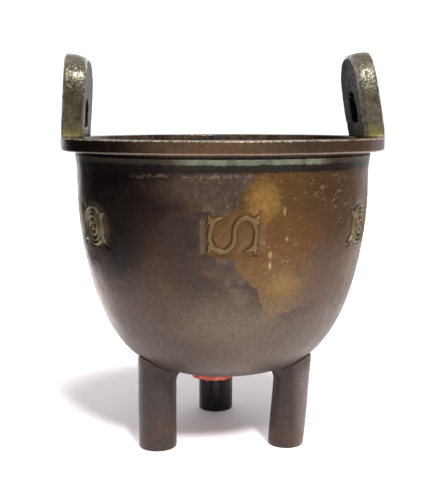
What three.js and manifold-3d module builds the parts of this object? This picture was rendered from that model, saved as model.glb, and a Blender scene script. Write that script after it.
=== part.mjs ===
// A round bronze ding: a deep cast bowl with a flat rim, two upright arched handles on the rim,
// three plain round legs and a band of raised S and whorl motifs, with a wax seal under the bowl.
// Millimetres, +Z up. The origin is on the floor below the centre of the rim. One S motif faces -Y,
// and the handles stand at +X and -X.
import * as THREE from 'three';
import { mergeVertices } from 'three/addons/utils/BufferGeometryUtils.js';
import Module from 'manifold-3d';

const wasm = await Module();
wasm.setup();

// Bowl: (r / bowlRadius) ^ sideCurve + ((bellyHeight - z) / bowlDepth) ^ floorCurve = 1
const bowlRadius = 58.8;
const bellyHeight = 101.5;
const bowlDepth = 71.8;
const sideCurve = 3.95;
const floorCurve = 1.64;
const wallThickness = 3.0;
const floorThickness = 4.0;
const bowlSides = 60;
const outerRows = 12;
const innerRows = 8;

// Rim
const rimRadius = 65.0;
const rimTop = 124.6;
const rimThickness = 5.0;
const rimOpening = 56.3;
const rimCorner = 0.9;

// Neck: the wall flares out a little up to an edge, with a cove between that edge and the rim
const neckBottom = 111.5;
const neckEdge = 118.1;
const neckFlare = 0.75;
const neckCove = 0.6;

// Handles: arched plates that lean inward and bend with the rim, each with an arched slot.
// Above the springing they follow a superellipse, and their tops slope down toward the bowl.
const handleWidth = 34.0;
const handleThickness = 8.6;
const handleFace = 64.2;
const handleSpringing = 12.0;
const archCurve = 2.8;
const topSlope = 2.0;
const topRounding = { drop: 1.0, depth: 1.6 };
const handleBend = 0.75;
const handleEdge = 0.6;
const handleRoot = 3.0;
const slotWidth = 11.8;
const baseSteps = 3;
const postSteps = 2;
const archSteps = 16;
const handles = [
  { side: -1, lean: 4.0, height: 34.0, slotBottom: 4.6, slotTop: 16.2 },
  { side: 1, lean: 9.75, height: 35.3, slotBottom: 7.3, slotTop: 20.2 },
];

// Legs: each stands a little to one side of its place on the circle, and the right one is
// thinner and leans
const legCircle = 31.2;
const legTop = 42.0;
const legStraightTop = 35.0;
const legEdge = 0.5;
const legSides = 22;
const legs = [
  { angle: 90, radius: 7.65, shift: -1.25, footShift: 0 },
  { angle: 210, radius: 7.65, shift: -0.4, footShift: 0 },
  { angle: 330, radius: 7.3, shift: 0.65, footShift: -2.75 },
];

// Motifs: six raised figures evenly spaced round the wall, S and whorl by turns
const motifCount = 6;
const motifHeight = 92.2;
const reliefHeight = 0.75;
const reliefRoot = 0.9;
const sLoop = { x: 4.2, y: 5.2, lift: 0.6 };
const sHook = [
  { x: -3.7, y: 5.6 },
  { x: -6.2, y: 4.9 },
  { x: -7.7, y: 3.2 },
];
const sBand = 1.75;
const sTips = [
  { x: -8.7, y: 7.3, baseX: -7.6, baseY: 4.4 },
  { x: -9.7, y: -7.3, baseX: -7.4, baseY: -4.4 },
];
const whorlRing = { outer: 7.3, inner: 5.6 };
const whorlSpiral = { start: 4.4, end: 2.2, turns: 1.2, band: 1.1 };
const whorlDot = { radius: 1.1, drop: 0.6 };
const whorlTips = [
  { x: 9.0, y: 5.2 },
  { x: 10.0, y: -6.6 },
];
const tipBase = 3.0;
const sLoopSteps = 10;
const spiralSteps = 16;

// Wax seal stuck to the underside of the bowl
const wax = { x: -4.3, y: -8.0, radius: 9.0, thickness: 2.8, gap: 0.3 };
const waxSides = 20;
const waxRings = 3;

const bronze = new THREE.MeshStandardMaterial({ color: 0x4a3d31, roughness: 0.45, metalness: 0.85 });
const sealingWax = new THREE.MeshStandardMaterial({ color: 0xb8482a, roughness: 0.5, metalness: 0 });

const radians = THREE.MathUtils.degToRad;

// Solids

function toSolid(geometry) {
  const bare = geometry.clone();
  bare.deleteAttribute('normal');
  bare.deleteAttribute('uv');
  const merged = mergeVertices(bare, 1e-4);
  const index = merged.index.array;
  const triangles = [];
  for (let i = 0; i < index.length; i += 3) {
    const [a, b, c] = [index[i], index[i + 1], index[i + 2]];
    if (a !== b && b !== c && c !== a) triangles.push(a, b, c);
  }
  return new wasm.Manifold(new wasm.Mesh({
    numProp: 3,
    vertProperties: new Float32Array(merged.attributes.position.array),
    triVerts: new Uint32Array(triangles),
  }));
}

function toGeometry(solid) {
  const mesh = solid.getMesh();
  const geometry = new THREE.BufferGeometry();
  geometry.setAttribute('position', new THREE.BufferAttribute(mesh.vertProperties, 3));
  geometry.setIndex(new THREE.BufferAttribute(mesh.triVerts, 1));
  geometry.computeVertexNormals();
  return geometry;
}

function turned(profile, sides) {
  const points = profile.map(([r, z]) => new THREE.Vector2(r, z));
  return new THREE.LatheGeometry(points, sides).rotateX(Math.PI / 2);
}

// Bowl and rim

// Points of a bowl surface from its lowest point up to the belly
function bowlCurve(radius, depth, rows) {
  const points = [];
  for (let row = 0; row <= rows; row += 1) {
    const turn = (Math.PI / 2) * (row / rows) ** 2;
    const r = radius * Math.sin(turn) ** (2 / sideCurve);
    const z = bellyHeight - depth * Math.cos(turn) ** (2 / floorCurve);
    points.push([row === 0 ? 0 : r, row === rows ? bellyHeight : z]);
  }
  return points;
}

function wallRadiusAt(z) {
  const drop = Math.max(0, bellyHeight - z) / bowlDepth;
  return bowlRadius * (1 - drop ** floorCurve) ** (1 / sideCurve);
}

function undersideAt(r) {
  return bellyHeight - bowlDepth * (1 - (r / bowlRadius) ** sideCurve) ** (1 / floorCurve);
}

function arcPoints(centre, radius, from, to, steps) {
  const points = [];
  for (let step = 0; step <= steps; step += 1) {
    const angle = radians(from + ((to - from) * step) / steps);
    points.push([centre[0] + radius * Math.cos(angle), centre[1] + radius * Math.sin(angle)]);
  }
  return points;
}

function bowlBody() {
  const rimBottom = rimTop - rimThickness;
  const neckRadius = bowlRadius + neckFlare;
  const profile = [
    ...bowlCurve(bowlRadius, bowlDepth, outerRows),
    [bowlRadius, neckBottom],
    [bowlRadius + neckFlare / 3, (neckBottom + 2 * neckEdge) / 3],
    [neckRadius, neckEdge],
    [neckRadius - neckCove / 2, neckEdge + neckCove],
    [neckRadius + neckCove, rimBottom],
    ...arcPoints([rimRadius - rimCorner, rimBottom + rimCorner], rimCorner, -90, 0, 2),
    ...arcPoints([rimRadius - rimCorner / 2, rimTop - rimCorner / 2], rimCorner / 2, 0, 90, 1),
    [0, rimTop],
  ];
  return toSolid(turned(profile, bowlSides));
}

function cavity(top) {
  const profile = [
    ...bowlCurve(bowlRadius - wallThickness, bowlDepth - floorThickness, innerRows),
    [bowlRadius - wallThickness, rimTop - rimThickness],
    [rimOpening, rimTop - rimCorner],
    [rimOpening, top],
    [0, top],
  ];
  return toSolid(turned(profile, bowlSides));
}

// Legs

function leg({ angle, radius, shift, footShift }) {
  const foot = [[0, 0], [radius - legEdge, 0], [radius, legEdge]];
  const profile = [...foot, [radius, legTop], [0, legTop]];
  const geometry = turned(profile, legSides);
  const position = geometry.attributes.position;
  for (let i = 0; i < position.count; i += 1) {
    const below = Math.max(0, 1 - position.getZ(i) / legStraightTop);
    position.setX(i, position.getX(i) + footShift * below);
  }
  geometry.translate(
    shift + legCircle * Math.cos(radians(angle)),
    legCircle * Math.sin(radians(angle)),
    0,
  );
  return toSolid(geometry);
}

// Handles

// A closed arch: a flat bottom, straight sides up to the springing, then a superellipse
function archLoop(width, bottom, springing, top, curve) {
  const half = width / 2;
  const points = [];
  for (let step = 0; step < baseSteps; step += 1) {
    points.push([half * ((2 * step) / baseSteps - 1), bottom]);
  }
  const post = [];
  for (let step = 0; step < postSteps; step += 1) {
    post.push([half, THREE.MathUtils.lerp(bottom, springing, step / postSteps)]);
  }
  points.push(...post);
  for (let step = 0; step <= archSteps; step += 1) {
    const across = Math.cos((Math.PI * step) / archSteps);
    const up = Math.sin((Math.PI * step) / archSteps);
    const x = half * Math.sign(across) * Math.abs(across) ** (2 / curve);
    points.push([x, springing + (top - springing) * up ** (2 / curve)]);
  }
  post.slice(1).reverse().forEach(([x, y]) => points.push([-x, y]));
  return points;
}

// Loops of the plate's edge and of its slot, with their depth from the outer face
function plateLoops({ height, slotBottom, slotTop }) {
  const edge = (inset, depth, drop = inset) => ({
    depth,
    loop: archLoop(handleWidth - 2 * inset, -handleRoot, handleSpringing, height - drop, archCurve),
  });
  const slotSpringing = slotTop - slotWidth / 2;
  const slot = (inset, depth) => ({
    depth,
    loop: archLoop(slotWidth + 2 * inset, slotBottom - inset, slotSpringing, slotTop + inset, 2),
  });
  const inner = handleThickness;
  return [
    edge(handleEdge, 0, topRounding.drop),
    edge(0, topRounding.depth, 0),
    edge(0, inner - handleEdge),
    edge(handleEdge, inner),
    slot(handleEdge, inner),
    slot(0, inner - handleEdge),
    slot(0, handleEdge),
    slot(handleEdge, 0),
  ];
}

// The plate is trimmed flush with the rim's outer edge, and below the rim's top with its opening
function handle(sizes) {
  const loops = plateLoops(sizes);
  const around = loops[0].loop.length;
  const positions = [];
  for (const { loop, depth } of loops) {
    for (const [across, up] of loop) {
      const share = Math.max(0, up - handleSpringing) / (sizes.height - handleSpringing);
      const lowered = topSlope * share * (depth / handleThickness);
      const bend = handleBend * (across / (handleWidth / 2)) ** 2;
      positions.push(-depth - bend, across, up - lowered);
    }
  }
  const index = [];
  for (let ring = 0; ring < loops.length; ring += 1) {
    const next = (ring + 1) % loops.length;
    for (let i = 0; i < around; i += 1) {
      const j = (i + 1) % around;
      const [a, b, c, d] = [ring * around + i, ring * around + j, next * around + j, next * around + i];
      index.push(a, c, b, a, d, c);
    }
  }
  const plate = new THREE.BufferGeometry();
  plate.setAttribute('position', new THREE.Float32BufferAttribute(positions, 3));
  plate.setIndex(index);
  plate.rotateY(radians(-sizes.lean));
  plate.translate(handleFace, 0, rimTop);
  if (sizes.side < 0) plate.rotateZ(Math.PI);
  return toSolid(plate).intersect(rimColumn(sizes.height)).subtract(cavity(rimTop));
}

// The space within the rim's outline, up past the top of a handle
function rimColumn(height) {
  const low = rimTop - handleRoot;
  const high = rimTop + height + handleRoot;
  return toSolid(turned([[0, low], [rimRadius, low], [rimRadius, high], [0, high]], bowlSides));
}

// Motifs

// A flat outline laid on the wall: x runs round the bowl, y up, and the thickness outward
function laidOnWall(shape, turn) {
  const geometry = new THREE.ExtrudeGeometry(shape, {
    depth: reliefRoot + reliefHeight,
    bevelEnabled: false,
    curveSegments: 11,
  });
  const position = geometry.attributes.position;
  for (let i = 0; i < position.count; i += 1) {
    const z = motifHeight + position.getY(i);
    const r = wallRadiusAt(z) + position.getZ(i) - reliefRoot;
    const angle = turn + position.getX(i) / bowlRadius;
    position.setXYZ(i, r * Math.cos(angle), r * Math.sin(angle), z);
  }
  return toSolid(geometry);
}

// A band of the given widths along a centre line, as a flat outline
function bandOutline(line, widthAt) {
  const left = [];
  const right = [];
  line.forEach((point, i) => {
    const before = line[Math.max(0, i - 1)];
    const after = line[Math.min(line.length - 1, i + 1)];
    const across = new THREE.Vector2(before.y - after.y, after.x - before.x).normalize();
    across.multiplyScalar(widthAt(i / (line.length - 1)) / 2);
    left.push(point.clone().add(across));
    right.push(point.clone().sub(across));
  });
  return new THREE.Shape([...left, ...right.reverse()]);
}

// The left half of the S, from its terminal down and round to the middle of the figure
function sHalfLine() {
  const line = sHook.map(({ x, y }) => new THREE.Vector2(x, y));
  for (let step = 0; step <= sLoopSteps; step += 1) {
    const angle = Math.PI + (Math.PI * step) / sLoopSteps;
    const x = sLoop.x * (Math.cos(angle) - 1);
    line.push(new THREE.Vector2(x, sLoop.y * Math.sin(angle) - sLoop.lift));
  }
  return line;
}

function tipOutline(tip, base) {
  const along = new THREE.Vector2(tip.x - base.x, tip.y - base.y).normalize();
  const across = new THREE.Vector2(-along.y, along.x).multiplyScalar(tipBase / 2);
  return new THREE.Shape([
    new THREE.Vector2(base.x, base.y).sub(across),
    new THREE.Vector2(tip.x, tip.y),
    new THREE.Vector2(base.x, base.y).add(across),
  ]);
}

function sMotif(turn) {
  const half = sHalfLine();
  const otherHalf = half.map((point) => point.clone().negate()).reverse();
  const line = [...half, ...otherHalf];
  const widthAt = (t) => sBand * Math.min(1, 0.3 + 10 * Math.min(t, 1 - t));
  const shapes = [bandOutline(line, widthAt)];
  for (const sign of [1, -1]) {
    for (const tip of sTips) {
      const point = { x: sign * tip.x, y: sign * tip.y };
      shapes.push(tipOutline(point, { x: sign * tip.baseX, y: sign * tip.baseY }));
    }
  }
  return wasm.Manifold.union(shapes.map((shape) => laidOnWall(shape, turn)));
}

function whorlMotif(turn) {
  const ring = new THREE.Shape().absarc(0, 0, whorlRing.outer, 0, 2 * Math.PI, false);
  ring.holes.push(new THREE.Path().absarc(0, 0, whorlRing.inner, 0, 2 * Math.PI, true));
  const spiral = [];
  for (let step = 0; step <= spiralSteps; step += 1) {
    const angle = 2 * Math.PI * whorlSpiral.turns * (step / spiralSteps);
    const r = THREE.MathUtils.lerp(whorlSpiral.start, whorlSpiral.end, step / spiralSteps);
    spiral.push(new THREE.Vector2(r * Math.cos(angle), r * Math.sin(angle) - whorlDot.drop));
  }
  const dot = new THREE.Shape().absarc(0, -whorlDot.drop, whorlDot.radius, 0, 2 * Math.PI, false);
  const shapes = [ring, bandOutline(spiral, () => whorlSpiral.band), dot];
  for (const sign of [1, -1]) {
    for (const tip of whorlTips) {
      const reach = whorlRing.inner / Math.hypot(tip.x, tip.y);
      const base = { x: sign * tip.x * reach, y: tip.y * reach };
      shapes.push(tipOutline({ x: sign * tip.x, y: tip.y }, base));
    }
  }
  return wasm.Manifold.union(shapes.map((shape) => laidOnWall(shape, turn)));
}

function motifs() {
  const solids = [];
  for (let place = 0; place < motifCount; place += 1) {
    const turn = -Math.PI / 2 + (2 * Math.PI * place) / motifCount;
    solids.push(place % 2 === 0 ? sMotif(turn) : whorlMotif(turn));
  }
  return solids;
}

function vessel() {
  const shell = wasm.Manifold.union([bowlBody(), ...legs.map(leg), ...motifs()]);
  const hollow = shell.subtract(cavity(rimTop + rimThickness));
  return wasm.Manifold.union([hollow, ...handles.map(handle)]);
}

// Wax

function waxSeal() {
  const profile = [[0, 0]];
  for (let ring = 1; ring <= waxRings; ring += 1) profile.push([(wax.radius * ring) / waxRings, 0]);
  const lower = arcPoints([0, 0], 1, 0, -90, waxRings);
  lower.slice(1).forEach(([x, y]) => profile.push([wax.radius * x ** 0.5, wax.thickness * y]));
  profile[profile.length - 1][0] = 0;
  const geometry = turned(profile.reverse(), waxSides).translate(wax.x, wax.y, 0);
  const position = geometry.attributes.position;
  for (let i = 0; i < position.count; i += 1) {
    const r = Math.hypot(position.getX(i), position.getY(i));
    position.setZ(i, position.getZ(i) + undersideAt(r) - wax.gap);
  }
  return toSolid(geometry);
}

function named(name, solid, material) {
  const mesh = new THREE.Mesh(toGeometry(solid), material);
  mesh.name = name;
  return mesh;
}

const ding = new THREE.Group();
ding.add(named('vessel', vessel(), bronze));
ding.add(named('wax_seal', waxSeal(), sealingWax));

export default ding;
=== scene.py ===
# Looks of a round bronze ding: the dark cast vessel with its raised motifs, and the wax lump below it.
# Lengths are millimetres until a mesh is made. +Z is up, the front S motif faces -Y.
import math

import bmesh
import bpy
import numpy as np
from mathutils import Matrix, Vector, kdtree, noise


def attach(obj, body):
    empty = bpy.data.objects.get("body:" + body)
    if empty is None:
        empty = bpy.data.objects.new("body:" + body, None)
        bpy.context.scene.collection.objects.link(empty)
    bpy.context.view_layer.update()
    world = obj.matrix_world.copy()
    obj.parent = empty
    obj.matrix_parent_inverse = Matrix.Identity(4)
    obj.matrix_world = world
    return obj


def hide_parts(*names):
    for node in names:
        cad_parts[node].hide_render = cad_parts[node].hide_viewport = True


MM = 0.001

# Bowl: (r / BOWL_RADIUS) ^ SIDE_CURVE + ((BELLY_HEIGHT - z) / BOWL_DEPTH) ^ FLOOR_CURVE = 1
BOWL_RADIUS = 58.8
BELLY_HEIGHT = 101.5
BOWL_DEPTH = 71.8
SIDE_CURVE = 3.95
FLOOR_CURVE = 1.64
WALL = 3.0
FLOOR = 4.0
COLUMNS = 240

# Rim
RIM_RADIUS = 64.95
WIDEST = 65.0
RIM_TOP = 124.6
RIM_BOTTOM = 119.6
RIM_OPENING = 56.3

# Neck: the wall flares out up to an edge, with a cove between that edge and the rim
NECK_BOTTOM = 111.5
NECK_EDGE = 118.1
NECK_FLARE = 0.75
NECK_COVE = 0.55

# Handles
HANDLE_WIDTH = 34.0
HANDLE_ROOT = 3.0
HANDLE_TRIM = 64.9
SPRINGING = 12.0
ARCH_CURVE = 2.8
HANDLE_BEND = 0.75
SLOT_WIDTH = 11.8
OUTER_EDGE = 0.45
HANDLES = [
    {"side": -1, "lean": 4.0, "height": 34.1, "face": 64.2, "thick": 8.8, "slope": 2.6, "strip": 0.9,
     "slot": (4.6, 16.2)},
    {"side": 1, "lean": 9.75, "height": 35.3, "face": 64.0, "thick": 8.3, "slope": 1.1, "strip": 1.25,
     "slot": (7.3, 20.2)},
]
TOP_ROUNDING = {"drop": 1.1, "depth": 4.5}
CRACK_HEIGHT = 7.6
CRACK_DROP = 0.3

# Legs: turn round the axis, radius, how far each is off its place on the circle, and its foot's lean
LEG_CIRCLE = 31.2
LEG_STRAIGHT_TOP = 35.0
LEG_EDGE = 0.55
LEG_PLAIN_END = 4.8
LEG_FILLET = 1.8
LEG_INSIDE = 1.8
LEG_COLUMNS = 64
LEG_ROWS = 12
# Rings just below the bowl: how far below it, and the shares of the fillet and of the groove
LEG_JOINT = [
    (3.4, 0.06, 0), (2.3, 0.22, 0), (1.4, 0.48, 0), (0.75, 0.76, 0.1), (0.45, 0.9, 1), (0.1, 1, 1),
]
LEGS = [(90, 7.65, -1.25, 0.0), (210, 7.65, -0.4, 0.0), (330, 7.3, 0.65, -2.75)]

# Motifs
MOTIF_COUNT = 6
MOTIF_HEIGHT = 92.2
BAND_ROWS = 12
BAND_STEP = 1.6
BAND_LOW = MOTIF_HEIGHT - BAND_ROWS * BAND_STEP / 2
BAND_HIGH = MOTIF_HEIGHT + BAND_ROWS * BAND_STEP / 2
WINDOW = 10.9
RELIEF = 0.75
S_MIDDLE = 0.5
S_LIFT = 0.6
S_HALVES = [
    {"sign": 1, "hook": [(-3.3, 5.75), (-5.6, 5.35), (-7.3, 4.0)], "arm": 8.25, "end": 6.15},
    {"sign": -1, "hook": [(-3.8, 6.2), (-6.0, 5.6), (-7.6, 4.1)], "arm": 8.3, "end": 5.8},
]
S_BAND = 1.5
S_TAPER = 3.2
S_TIPS = [
    ((-8.9, 7.3), (-7.7, 4.0)), ((-9.5, -7.2), (-7.6, -4.2)),
    ((10.1, 7.8), (7.7, 4.2)), ((8.3, -7.6), (7.5, -4.4)),
]
WHORL_RINGS = (7.0, 5.5)
WHORL_TIPS = [((8.6, 5.8), (5.3, 3.8)), ((9.2, -6.4), (5.2, -3.9))]
SPIRAL = (4.3, 2.0, 1.25)
DOT = (0.0, -0.6, 1.15)

# Wax
WAX = (-4.3, -8.0)
WAX_RADIUS = 9.0
WAX_THICK = 2.9
WAX_GAP = 0.12
WAX_COLUMNS = 72
WAX_LIP_STEPS = 8

# Camera, found from the outline: distance from the axis, eye height, turn and pitch in degrees
EYE_DISTANCE = 360.0
EYE_HEIGHT = 132.2
EYE_TURN = 3.6
EYE_PITCH = 8.56
FOCAL_PX = 877.0
AXIS_PX = 222.6
FRAME_WIDTH = 430
FRAME_HEIGHT = 500
SENSOR = 36.0

# Light: the floor sheet's left, right, front and back in metres, the key light, and for each bright
# side of the studio its direction, the cosines at which it starts and is full, and its strength
SHEET = (-0.2, 0.32, -0.3, 5.0)
KEY_FROM = (0.26, -0.86, 1.0)
KEY_POWER = 2.6
KEY_SPREAD = 8.0
PANELS = [((0.27, 0.96, 0.0), 0.62, 0.8, 1.2), ((0.0, 0.0, 1.0), 0.5, 0.85, 1.0)]
DARK_SIDE = 0.02
BACKDROP = 1.1
# The sheet glows by emission, a painted light, and glows less inside an ellipse under the vessel: a painted
# shadow
PAINTED_SHADOW_CENTRE = (-12.0, 48.0)
PAINTED_SHADOW_RADII = (72.0, 62.0)
PAINTED_SHADOW_GLOW = 0.14
SHEET_GLOW = 0.8


# Number helpers

def smoothstep(low, high, value):
    t = np.clip((value - low) / (high - low), 0.0, 1.0)
    return t * t * (3 - 2 * t)


def wall_radius(z):
    drop = np.clip((BELLY_HEIGHT - np.asarray(z, float)) / BOWL_DEPTH, 0, 1)
    return BOWL_RADIUS * (1 - drop ** FLOOR_CURVE) ** (1 / SIDE_CURVE)


def underside(r):
    inside = np.clip(np.asarray(r, float) / BOWL_RADIUS, 0, 1)
    return BELLY_HEIGHT - BOWL_DEPTH * (1 - inside ** SIDE_CURVE) ** (1 / FLOOR_CURVE)


def smooth_line(points, steps):
    """A curve through the points, with the given steps between each two."""
    points = [np.array(p, float) for p in points]
    ends = [2 * points[0] - points[1], *points, 2 * points[-1] - points[-2]]
    line = []
    for a, b, c, d in zip(ends, ends[1:], ends[2:], ends[3:]):
        for step in range(steps):
            t = step / steps
            cubic = 2 * b + (c - a) * t + (2 * a - 5 * b + 4 * c - d) * t * t
            line.append((cubic + (3 * b - a - 3 * c + d) * t ** 3) / 2)
    line.append(points[-1])
    return np.array(line)


def distance_to_band(u, v, line, halves):
    """Distance of every point (u, v) to a band along a polyline, given its half width at each point."""
    best = np.full(u.shape, 1e9)
    for (ax, ay), (bx, by), half_a, half_b in zip(line, line[1:], halves, halves[1:]):
        dx, dy = bx - ax, by - ay
        t = np.clip(((u - ax) * dx + (v - ay) * dy) / (dx * dx + dy * dy), 0, 1)
        half = half_a + (half_b - half_a) * t
        best = np.minimum(best, np.hypot(u - ax - t * dx, v - ay - t * dy) - half)
    return best


def cloud(points, size, seed):
    """Smooth noise from -1 to 1 at every point, with lumps about as wide as size."""
    shift = Vector((seed * 17.3, seed * 5.1, seed * 9.7))
    return np.array([noise.noise(Vector(p) / size + shift) for p in points])


# Meshes

def capped_faces(rings, columns):
    """Faces of a closed tube: one first point, the given rings of points, and one last point."""
    faces = []
    last = 1 + (rings - 1) * columns
    top = last + columns
    for j in range(columns):
        k = (j + 1) % columns
        faces.append((0, 1 + k, 1 + j))
        for i in range(rings - 1):
            a, b = 1 + i * columns, 1 + (i + 1) * columns
            faces.append((a + j, a + k, b + k, b + j))
        faces.append((top, last + j, last + k))
    return faces


def turned(profile, columns):
    """A closed surface turned round the axis. The profile starts and ends on the axis."""
    angles = -math.pi / 2 + 2 * math.pi * np.arange(columns) / columns
    rings = np.array(profile[1:-1])
    verts = [(0, 0, profile[0][1])]
    for r, z in rings:
        verts += [(r * math.cos(a), r * math.sin(a), z) for a in angles]
    verts.append((0, 0, profile[-1][1]))
    return np.array(verts, float), capped_faces(len(rings), columns)


def arc(centre, radius, start, end, steps):
    turns = np.radians(np.linspace(start, end, steps + 1))
    return [(centre[0] + radius * math.cos(a), centre[1] + radius * math.sin(a)) for a in turns]


def bowl_curve(radius, depth):
    """Finely spaced points of a bowl surface from its lowest point up to the belly."""
    turn = math.pi / 2 * np.linspace(0, 1, 1500) ** 2
    r = radius * np.sin(turn) ** (2 / SIDE_CURVE)
    z = BELLY_HEIGHT - depth * np.cos(turn) ** (2 / FLOOR_CURVE)
    return r, z


def evenly(r, z, count):
    """The given number of evenly spaced points along a curve."""
    length = np.concatenate([[0], np.cumsum(np.hypot(np.diff(r), np.diff(z)))])
    places = np.linspace(0, length[-1], count)
    return list(zip(np.interp(places, length, r), np.interp(places, length, z)))


def shell_profile():
    """The section of bowl, neck and rim: up the outside, over the rim and down the inside."""
    r, z = bowl_curve(BOWL_RADIUS, BOWL_DEPTH)
    below = z < BAND_LOW
    profile = evenly(np.append(r[below], wall_radius(BAND_LOW)), np.append(z[below], BAND_LOW), 35)
    for z in np.linspace(BAND_LOW, BAND_HIGH, BAND_ROWS + 1)[1:]:
        profile.append((float(wall_radius(z)), z))
    profile += [(BOWL_RADIUS, z) for z in np.linspace(BAND_HIGH, NECK_BOTTOM, 7)[1:]]
    for share in (0.2, 0.4, 0.6, 0.8, 0.93):
        rise = (NECK_EDGE - NECK_BOTTOM) * share
        profile.append((BOWL_RADIUS + NECK_FLARE * share ** 1.5, NECK_BOTTOM + rise))
    lip = BOWL_RADIUS + NECK_FLARE
    profile += [(lip, NECK_EDGE - 0.1), (lip - 0.1, NECK_EDGE + 0.06)]
    profile += [(lip - NECK_COVE, NECK_EDGE + 0.5), (lip - NECK_COVE + 0.1, NECK_EDGE + 1.0)]
    profile += [(lip + 0.1, RIM_BOTTOM - 0.12), (lip + 0.9, RIM_BOTTOM), (RIM_RADIUS - 2.4, RIM_BOTTOM)]
    profile += arc((RIM_RADIUS - 0.9, RIM_BOTTOM + 0.9), 0.9, -90, 0, 4)
    profile += [(RIM_RADIUS, RIM_BOTTOM + rise) for rise in (1.7, 2.5, 3.3, 3.9)]
    profile += arc((RIM_RADIUS - 0.65, RIM_TOP - 0.65), 0.65, 0, 90, 4)
    profile += [(r, RIM_TOP) for r in np.linspace(RIM_RADIUS - 1.2, RIM_OPENING + 1.2, 5)]
    profile += arc((RIM_OPENING + 0.5, RIM_TOP - 0.5), 0.5, 90, 180, 3)
    inside = BOWL_RADIUS - WALL
    profile += [(np.interp(z, (RIM_BOTTOM, RIM_TOP), (inside, RIM_OPENING)), z) for z in (122.4, 120.4)]
    profile += [(inside, z) for z in np.linspace(118, BELLY_HEIGHT + 2.4, 6)]
    r, z = bowl_curve(inside, BOWL_DEPTH - FLOOR)
    return profile + evenly(r, z, 32)[::-1]


def leg_mesh(angle, thickness, shift, foot_shift):
    """A leg from its flat foot into the bowl's wall, with a thin groove where it meets the bowl."""
    centre = LEG_CIRCLE * np.array([math.cos(math.radians(angle)), math.sin(math.radians(angle))])
    centre[0] += shift
    turns = 2 * math.pi * np.arange(LEG_COLUMNS) / LEG_COLUMNS
    round_about = np.stack([np.cos(turns), np.sin(turns)], 1)
    outward = centre / np.linalg.norm(centre)
    away = round_about @ outward
    joint = underside(np.linalg.norm(centre + thickness * round_about, axis=1))
    groove = 0.12 + 0.28 * smoothstep(-0.6, 0.4, away)
    fillet = LEG_FILLET * smoothstep(0.2, -0.9, away)
    rings = [(np.full(LEG_COLUMNS, thickness * share), np.zeros(LEG_COLUMNS)) for share in (0.35, 0.7)]
    for inset, rise in ((0.6, 0.0), (0.2, 0.12), (0.0, LEG_EDGE)):
        rings.append((np.full(LEG_COLUMNS, thickness - inset), np.full(LEG_COLUMNS, rise)))
    for step in range(1, LEG_ROWS + 1):
        height = LEG_EDGE + (joint - LEG_PLAIN_END) * step / LEG_ROWS
        rings.append((np.full(LEG_COLUMNS, thickness), height))
    for below, flare, cut in LEG_JOINT:
        rings.append((thickness + fillet * flare - groove * cut, joint - below))
    rings.append((thickness - groove, joint + 0.6))
    verts = [(*centre, 0.0)]
    for radius, z in rings:
        verts += [(*(centre + rad * way), h) for rad, way, h in zip(radius, round_about, z)]
    for share in (0.9, 0.5):
        for way in round_about:
            x, y = centre + thickness * share * way
            verts.append((x, y, float(underside(math.hypot(x, y))) + LEG_INSIDE))
    verts.append((*centre, float(underside(LEG_CIRCLE)) + LEG_INSIDE))
    verts = np.array(verts)
    verts[:, 0] += foot_shift * np.clip(1 - verts[:, 2] / LEG_STRAIGHT_TOP, 0, 1)
    return verts, capped_faces(len(rings) + 2, LEG_COLUMNS)


def arch(width, bottom, springing, top, curve):
    """An arched outline as a closed loop of evenly spaced points, as many for every size."""
    turns = np.linspace(0, math.pi, 401)
    across = np.sign(np.cos(turns)) * np.abs(np.cos(turns)) ** (2 / curve) * width / 2
    up = springing + (top - springing) * np.sin(turns) ** (2 / curve)
    across = np.concatenate([[width / 2], across, [-width / 2]])
    up = np.concatenate([[bottom], up, [bottom]])
    loop = [(x, bottom) for x in np.linspace(-width / 2, width / 2, 13)[:-1]]
    return np.array(loop + evenly(across, up, 91)[:-1])


def handle_section(thick, strip):
    """The plate's section: what a row is measured from, how far, its depth from the inner face,
    and how dark a line runs along it."""
    inner = [("slot", 0.0, 0.7, 0), ("slot", 0.2, 0.2, 0), ("slot", 0.8, 0.0, 0)]
    inner += [("share", share, 0.0, 0) for share in (0.2, 0.32, 0.44, 0.56, 0.68, 0.8)]
    inner += [("edge", strip + 0.5, 0.0, 0), ("edge", strip, 0.02, 0)]
    inner += [("edge", strip * 0.5, strip * 0.45, 0), ("edge", 0.1, strip * 0.95, 0.2)]
    inner += [("edge", 0.14, strip + 0.2, 1), ("edge", 0.02, strip + 0.42, 0.2)]
    side = [("edge", 0.0, depth, 0) for depth in np.linspace(strip + 1.0, thick - OUTER_EDGE - 0.7, 9)]
    outer = [("edge", 0.02, thick - OUTER_EDGE - 0.32, 0.2), ("edge", 0.12, thick - OUTER_EDGE - 0.14, 1)]
    outer += [("edge", 0.05, thick - OUTER_EDGE, 0.2), ("edge", OUTER_EDGE * 0.8, thick - 0.05, 0)]
    outer += [("edge", OUTER_EDGE + 0.7, thick, 0)]
    outer += [("share", share, thick, 0) for share in (0.8, 0.68, 0.56, 0.44, 0.32, 0.2)]
    outer += [("slot", 0.7, thick, 0), ("slot", 0.2, thick - 0.2, 0), ("slot", 0.0, thick - 0.6, 0)]
    hole = [("slot", 0.0, depth, 0) for depth in np.linspace(thick - 0.9, 1.0, 7)[1:-1]]
    return inner + side + outer + hole


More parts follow.
